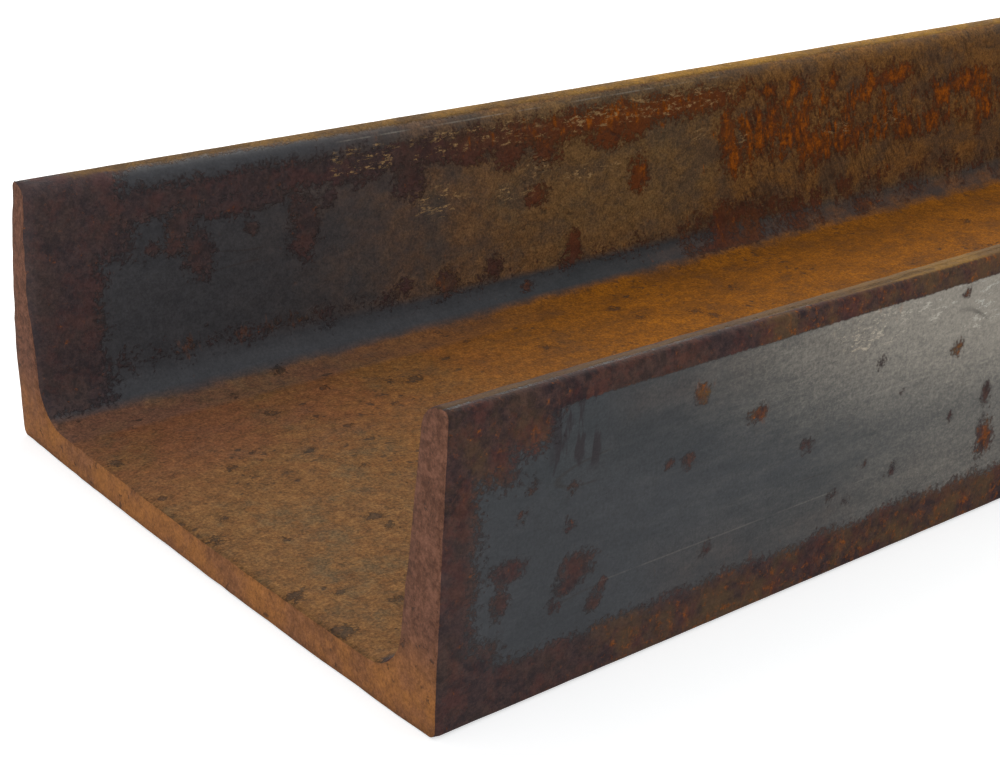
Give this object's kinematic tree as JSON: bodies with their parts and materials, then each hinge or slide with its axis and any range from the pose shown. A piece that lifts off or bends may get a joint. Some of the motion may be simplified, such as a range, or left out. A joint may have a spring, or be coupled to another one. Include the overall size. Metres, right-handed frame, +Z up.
{
  "type": "steel u-channel",
  "caption": "Hot-rolled steel u-channel with tapered flanges, mill-scaled and surface-rusted, cut square to a stock length.",
  "frame": {"origin": "under the middle of the web's back face, on the surface the channel lies on", "axes": "+X along the rolled length, +Y across the web from flange to flange, +Z up along the flanges, out of the open side"},
  "size_m": [1, 0.18, 0.07],
  "materials": {
    "rusted_mill_steel": "hot-rolled blue-grey mill scale under patchy brown and orange surface rust"
  },
  "bodies": {
    "root": {"u_channel": "rusted_mill_steel"}
  },
  "joints": []
}
